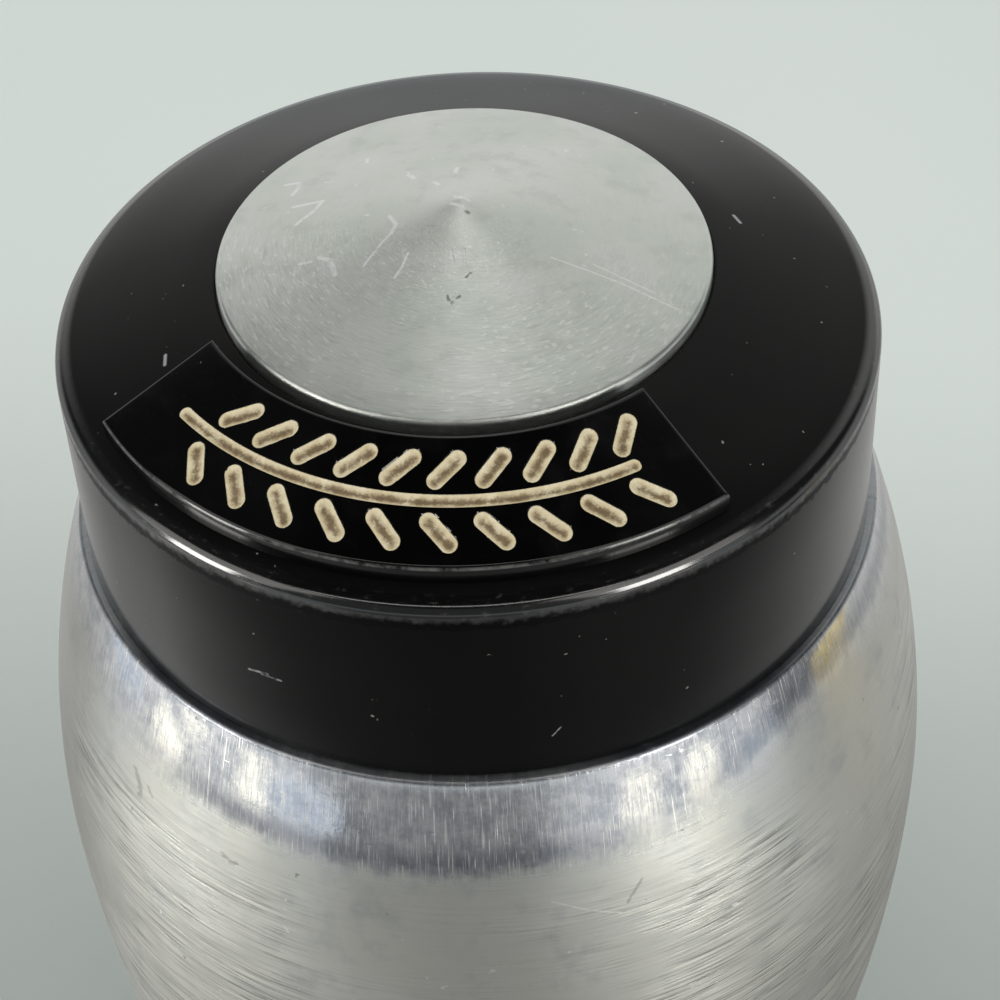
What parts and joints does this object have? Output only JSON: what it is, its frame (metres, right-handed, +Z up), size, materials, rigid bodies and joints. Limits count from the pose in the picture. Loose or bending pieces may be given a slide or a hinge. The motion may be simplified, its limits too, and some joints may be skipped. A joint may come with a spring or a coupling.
{
  "type": "spice jar",
  "caption": "Barrel-shaped spun aluminium spice jar with a black screw cap, a conical aluminium cap disc, a raised label plate and a sifter in the neck.",
  "frame": {"origin": "middle of the base, on the surface that the jar stands on", "axes": "+Z up along the jar's axis, -Y towards the front, where the label plate faces"},
  "size_m": [0.0666, 0.0666, 0.0989],
  "materials": {
    "jar_metal": "satin spun, polished at the shoulder",
    "disc_metal": "circular brushed",
    "cap_plastic": "satin black, worn bright at the rim",
    "plate_plastic": "polished black",
    "inlay_paint": "aged cream paint",
    "liner_board": "waxed pulp board",
    "sifter_plastic": "matte off-white"
  },
  "bodies": {
    "jar": {"jar_shell": "jar_metal", "sifter_insert": "sifter_plastic"},
    "liner": {"cap_liner": "liner_board"},
    "cap": {"screw_cap": "cap_plastic", "cap_disc": "disc_metal", "label_plate": "plate_plastic", "label_inlay": "inlay_paint"}
  },
  "joints": [
    {"name": "cap_lift", "type": "slide", "parent": "jar", "child": "liner", "axis": [0, 0, 1], "range_m": [0, 0.014]},
    {"name": "cap_turn", "type": "hinge", "parent": "liner", "child": "cap", "pos_m": [0, 0, 0.09], "axis": [0, 0, 1], "range_deg": [0, 1008]}
  ],
  "couplings": [
    {"joint": "cap_lift", "follows": "cap_turn", "m_per_rad": 0.00079577}
  ]
}
